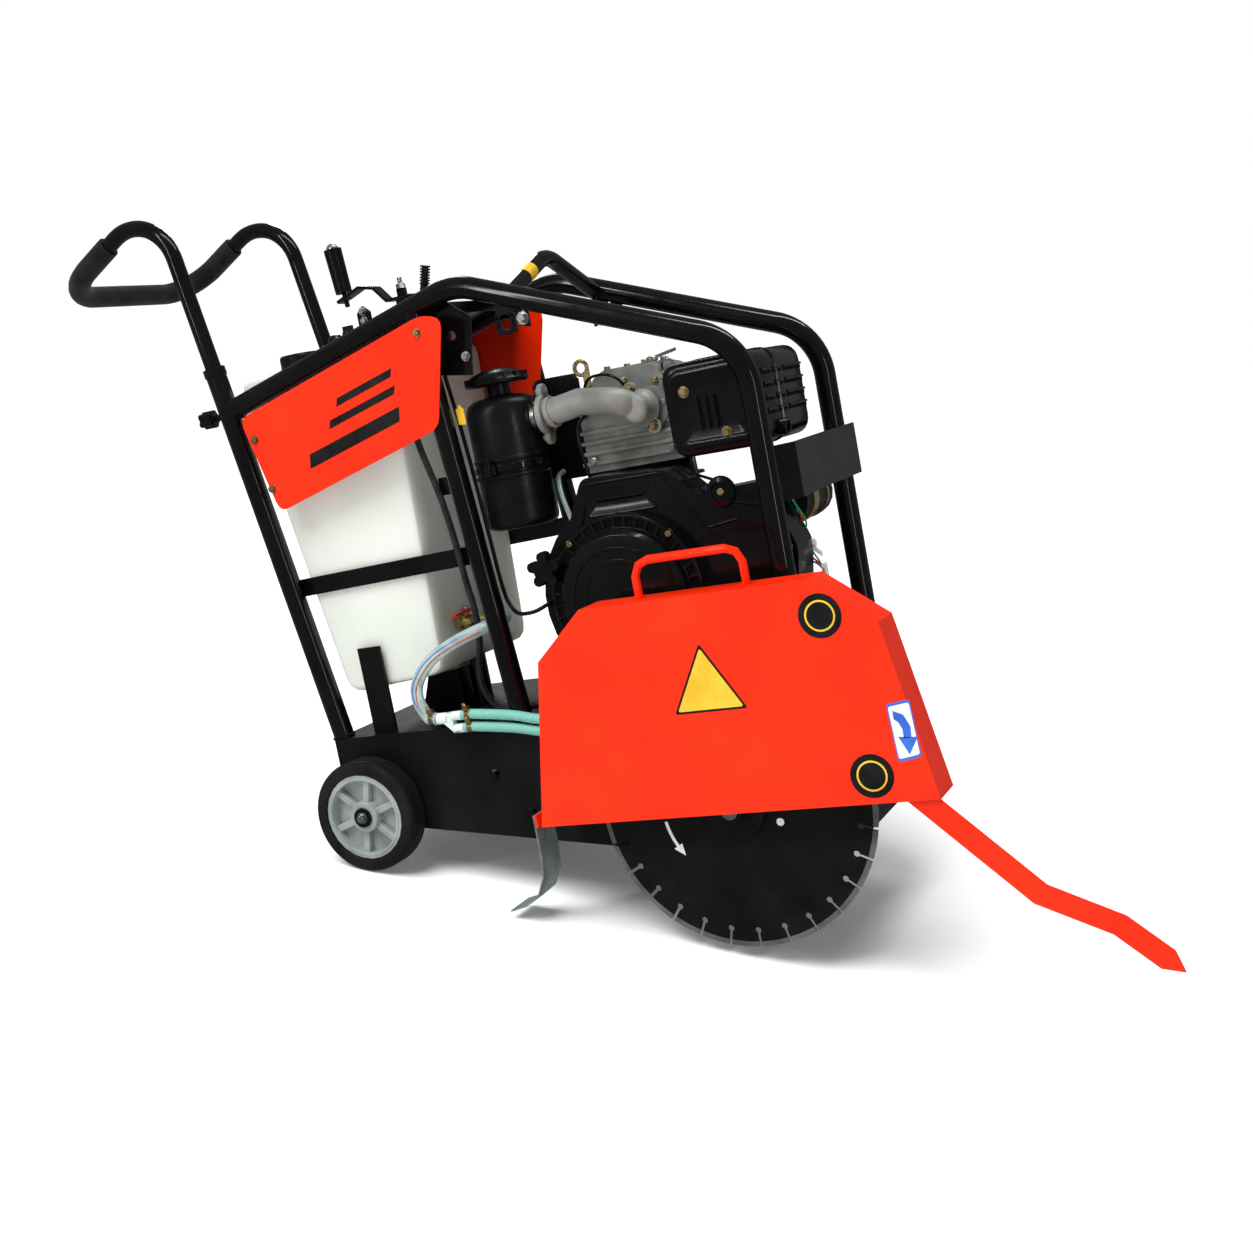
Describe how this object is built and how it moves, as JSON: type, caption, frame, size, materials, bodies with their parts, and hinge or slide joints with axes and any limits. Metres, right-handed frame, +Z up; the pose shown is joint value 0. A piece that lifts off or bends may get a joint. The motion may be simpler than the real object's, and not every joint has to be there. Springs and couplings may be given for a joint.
{
  "type": "walk-behind concrete saw",
  "caption": "Walk-behind concrete saw: engine in a tube cage on a wheeled chassis, circular blade under a tipping guard, water tank, crank depth control and pointer.",
  "frame": {"origin": "centre of the footprint of the bounding box, on the ground under the wheels", "axes": "+X forward, the way the machine is pushed; +Y to the operator's left; +Z up"},
  "size_m": [1.8182, 0.5, 0.9459],
  "materials": {
    "black_paint": "gloss black enamel",
    "orange_paint": "gloss orange-red enamel",
    "red_lever": "red vinyl-dipped metal",
    "blade_steel": "dark painted core with bare segments",
    "bare_steel": "plain machined steel",
    "wheel_alloy": "cast aluminium",
    "tyre_rubber": "solid black rubber",
    "foam_rubber": "matt black foam",
    "flap_rubber": "grey-green flexible sheet",
    "belt_rubber": "black rubber",
    "tank_plastic": "translucent off-white moulding",
    "black_plastic": "black moulding",
    "knob_plastic": "glossy black moulding",
    "engine_alloy": "cast aluminium",
    "engine_black": "cast aluminium, painted black",
    "cover_black": "satin black pressed steel",
    "cast_black": "black cast iron",
    "brass": "brass",
    "hose_clear": "clear greenish hose",
    "cable_black": "black sleeve"
  },
  "bodies": {
    "machine": {"air_cleaner": "black_plastic", "ball_valve": "brass", "belt_guard": "black_paint", "cage_loop_left": "black_paint", "cage_loop_right": "black_paint", "chassis": "black_paint", "console_panel": "black_paint", "cylinder_head": "engine_alloy", "drive_belt": "belt_rubber", "engine_block": "engine_black", "fan_shroud": "cover_black", "front_plate": "black_paint", "front_upright_left": "black_paint", "front_upright_right": "black_paint", "fuel_tank": "cover_black", "guard_back": "orange_paint", "guard_hose_lower": "hose_clear", "guard_hose_upper": "hose_clear", "hose_splitter": "hose_clear", "intake_elbow": "engine_alloy", "lifting_bail": "black_paint", "muffler": "cover_black", "rear_upright_left": "black_paint", "rear_upright_right": "black_paint", "recoil_cover": "cover_black", "screw_tube": "black_paint", "side_panel_left": "orange_paint", "side_panel_right": "orange_paint", "splash_flap": "flap_rubber", "throttle_cable": "cable_black", "water_hose": "hose_clear", "water_tank": "tank_plastic", "wiring_harness": "cable_black"},
    "handle": {"handlebar": "black_paint", "foam_grip": "foam_rubber"},
    "clamp_right": {"clamp_knob_right": "black_plastic"},
    "clamp_left": {"clamp_knob_left": "black_plastic"},
    "tank_filler": {"tank_cap": "black_plastic"},
    "fuel_filler": {"fuel_cap": "black_plastic"},
    "valve_handle": {"valve_lever": "red_lever"},
    "crank": {"crank_arm": "black_paint"},
    "crank_sleeve": {"crank_grip": "black_plastic"},
    "depth_screw_rod": {"depth_rod": "bare_steel"},
    "wheel_carrier": {"swing_arm": "black_paint"},
    "depth_wheel_right": {"front_wheel_right": "tyre_rubber"},
    "depth_wheel_left": {"front_wheel_left": "tyre_rubber"},
    "rear_wheel_right": {"rear_tyre_right": "tyre_rubber", "rear_hub_right": "wheel_alloy"},
    "rear_wheel_left": {"rear_tyre_left": "tyre_rubber", "rear_hub_left": "wheel_alloy"},
    "arbor": {"saw_blade": "blade_steel", "arbor_shaft": "bare_steel", "blade_nut": "bare_steel"},
    "engine_output": {"engine_pulley": "cast_black"},
    "guard": {"guard_cover": "orange_paint"},
    "pointer": {"pointer_arm": "orange_paint"},
    "throttle": {"throttle_lever": "black_plastic"},
    "shroud_knob": {"star_knob": "black_plastic"},
    "stop_switch": {"stop_button": "knob_plastic"},
    "ignition_key": {"key_switch": "knob_plastic"}
  },
  "joints": [
    {"name": "handle_height", "type": "slide", "parent": "machine", "child": "handle", "axis": [-0.4005, 0, 0.9163], "range_m": [-0.035, 0.12]},
    {"name": "clamp_turn_right", "type": "hinge", "parent": "machine", "child": "clamp_right", "pos_m": [-0.60972, -0.136, 0.65433], "axis": [0.9681, 0, 0.2504], "range_deg": [0, 720]},
    {"name": "clamp_turn_left", "type": "hinge", "parent": "machine", "child": "clamp_left", "pos_m": [-0.60972, 0.178, 0.65433], "axis": [0.9681, 0, 0.2504], "range_deg": [0, 720]},
    {"name": "tank_cap_lift", "type": "slide", "parent": "machine", "child": "tank_filler", "axis": [-0.2504, 0, 0.9681], "range_m": [0, 0.03]},
    {"name": "fuel_cap_lift", "type": "slide", "parent": "machine", "child": "fuel_filler", "axis": [-0.2504, 0, 0.9681], "range_m": [0, 0.03]},
    {"name": "valve_turn", "type": "hinge", "parent": "machine", "child": "valve_handle", "pos_m": [-0.19422, -0.054, 0.37652], "axis": [-0.2504, 0, 0.9681], "range_deg": [0, 90]},
    {"name": "depth_crank_turn", "type": "hinge", "parent": "machine", "child": "crank", "pos_m": [-0.36272, 0.021, 0.85146], "axis": [-0.2504, 0, 0.9681], "range_deg": [0, 4277]},
    {"name": "crank_sleeve_spin", "type": "hinge", "parent": "crank", "child": "crank_sleeve", "pos_m": [-0.47614, 0.021, 0.87067], "axis": [-0.3197, 0, 0.9475], "continuous": true},
    {"name": "depth_rod_travel", "type": "slide", "parent": "machine", "child": "depth_screw_rod", "axis": [0.2504, 0, -0.9681], "range_m": [0, 0.0595]},
    {"name": "wheel_carrier_swing", "type": "hinge", "parent": "machine", "child": "wheel_carrier", "pos_m": [-0.02629, 0.021, 0.1297], "axis": [0, -1, 0], "range_deg": [0, 23.2]},
    {"name": "depth_wheel_right_roll", "type": "hinge", "parent": "wheel_carrier", "child": "depth_wheel_right", "pos_m": [0.2277, -0.069, 0.05502], "axis": [0, 1, 0], "continuous": true},
    {"name": "depth_wheel_left_roll", "type": "hinge", "parent": "wheel_carrier", "child": "depth_wheel_left", "pos_m": [0.2277, 0.111, 0.05502], "axis": [0, 1, 0], "continuous": true},
    {"name": "rear_wheel_right_roll", "type": "hinge", "parent": "machine", "child": "rear_wheel_right", "pos_m": [-0.28715, -0.176, 0.086], "axis": [0, 1, 0], "continuous": true},
    {"name": "rear_wheel_left_roll", "type": "hinge", "parent": "machine", "child": "rear_wheel_left", "pos_m": [-0.28715, 0.218, 0.086], "axis": [0, 1, 0], "continuous": true},
    {"name": "arbor_spin", "type": "hinge", "parent": "machine", "child": "arbor", "pos_m": [0.30772, 0.021, 0.21609], "axis": [0, 1, 0], "continuous": true},
    {"name": "engine_pulley_spin", "type": "hinge", "parent": "machine", "child": "engine_output", "pos_m": [0.10148, 0.222, 0.46642], "axis": [0, 1, 0], "continuous": true},
    {"name": "guard_tip", "type": "hinge", "parent": "machine", "child": "guard", "pos_m": [0.04856, -0.219, 0.17179], "axis": [0, -1, 0], "range_deg": [0, 70]},
    {"name": "pointer_tilt", "type": "hinge", "parent": "guard", "child": "pointer", "pos_m": [0.52447, -0.242, 0.31656], "axis": [0, 1, 0], "range_deg": [0, 15]},
    {"name": "throttle_turn", "type": "hinge", "parent": "machine", "child": "throttle", "pos_m": [-0.2548, -0.113, 0.79364], "axis": [0, 1, 0], "range_deg": [-25, 12]},
    {"name": "shroud_knob_turn", "type": "hinge", "parent": "machine", "child": "shroud_knob", "pos_m": [-0.02195, -0.1366, 0.49234], "axis": [0, 1, 0], "range_deg": [0, 180]},
    {"name": "stop_press", "type": "slide", "parent": "machine", "child": "stop_switch", "axis": [0.2504, 0, -0.9681], "range_m": [0, 0.003], "stiffness_N_per_m": 600},
    {"name": "key_turn", "type": "hinge", "parent": "machine", "child": "ignition_key", "pos_m": [-0.41253, -0.037, 0.7565], "axis": [-0.2504, 0, 0.9681], "range_deg": [0, 90]}
  ],
  "couplings": [
    {"joint": "depth_rod_travel", "follows": "depth_crank_turn", "m_per_rad": 0.0007958},
    {"joint": "wheel_carrier_swing", "follows": "depth_crank_turn", "ratio": 0.005417},
    {"joint": "engine_pulley_spin", "follows": "arbor_spin", "ratio": 0.82759}
  ]
}
